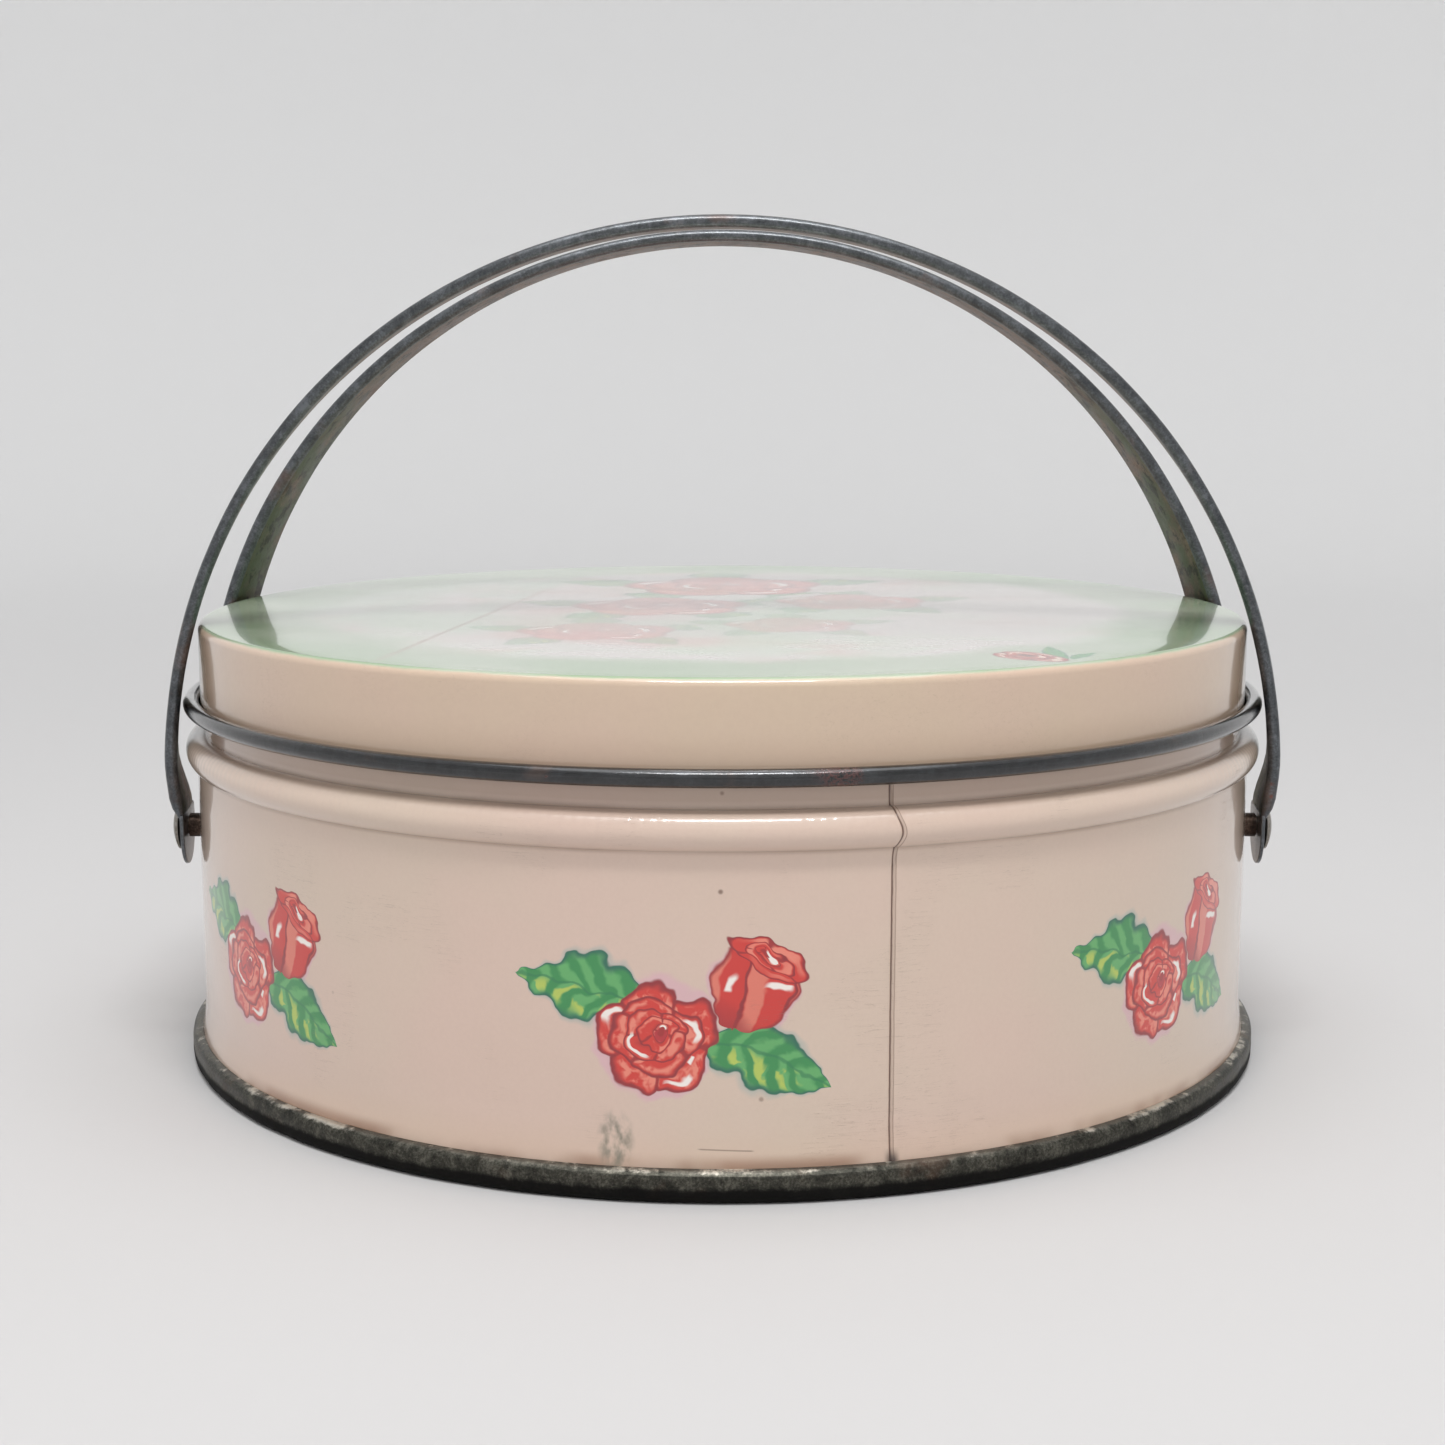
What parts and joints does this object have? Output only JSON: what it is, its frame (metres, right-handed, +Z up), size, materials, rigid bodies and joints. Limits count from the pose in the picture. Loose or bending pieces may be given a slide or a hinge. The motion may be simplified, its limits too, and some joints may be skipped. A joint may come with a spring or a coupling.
{
  "type": "round tin with strap handles",
  "caption": "Low round tinplate box with a lift-off slip lid, printed roses on a pink ground and hinged hemmed strap handles for carrying or display.",
  "frame": {"origin": "centre of the base, on the plane the bottom seam stands on", "axes": "+Z up along the tin's axis, +X parallel to the hinge lines of the handles, -Y the printed front with the side seam to its right"},
  "size_m": [0.2038, 0.2004, 0.1514],
  "materials": {
    "litho_body": "glossy lithographed ink and varnish, pink cream with printed roses",
    "litho_lid": "glossy lithographed ink and varnish, mint border and faded rose print",
    "bare_steel": "bare tinned steel, greyed and lightly rusted",
    "base_plate": "plain tinplate, dulled"
  },
  "bodies": {
    "tin": {"body_shell": "litho_body", "bottom_end": "base_plate", "front_left_rivet": "bare_steel", "front_right_rivet": "bare_steel", "back_left_rivet": "bare_steel", "back_right_rivet": "bare_steel", "front_left_spacer": "bare_steel", "front_right_spacer": "bare_steel", "back_left_spacer": "bare_steel", "back_right_spacer": "bare_steel", "front_left_washer": "base_plate", "front_right_washer": "base_plate", "back_left_washer": "base_plate", "back_right_washer": "base_plate"},
    "lid": {"lid": "litho_lid"},
    "front_handle": {"front_handle": "bare_steel"},
    "back_handle": {"back_handle": "bare_steel"}
  },
  "joints": [
    {"name": "lid_lift", "type": "slide", "parent": "tin", "child": "lid", "axis": [0, 0, 1], "range_m": [0, 0.045]},
    {"name": "front_handle_swing", "type": "hinge", "parent": "tin", "child": "front_handle", "pos_m": [0, -0.0222, 0.043], "axis": [1, 0, 0], "range_deg": [0, 106]},
    {"name": "back_handle_swing", "type": "hinge", "parent": "tin", "child": "back_handle", "pos_m": [0, 0.0222, 0.043], "axis": [-1, 0, 0], "range_deg": [0, 106]}
  ],
  "couplings": [
    {"joint": "front_handle_swing", "follows": "lid_lift", "rad_per_m": 41},
    {"joint": "back_handle_swing", "follows": "lid_lift", "rad_per_m": 41}
  ]
}
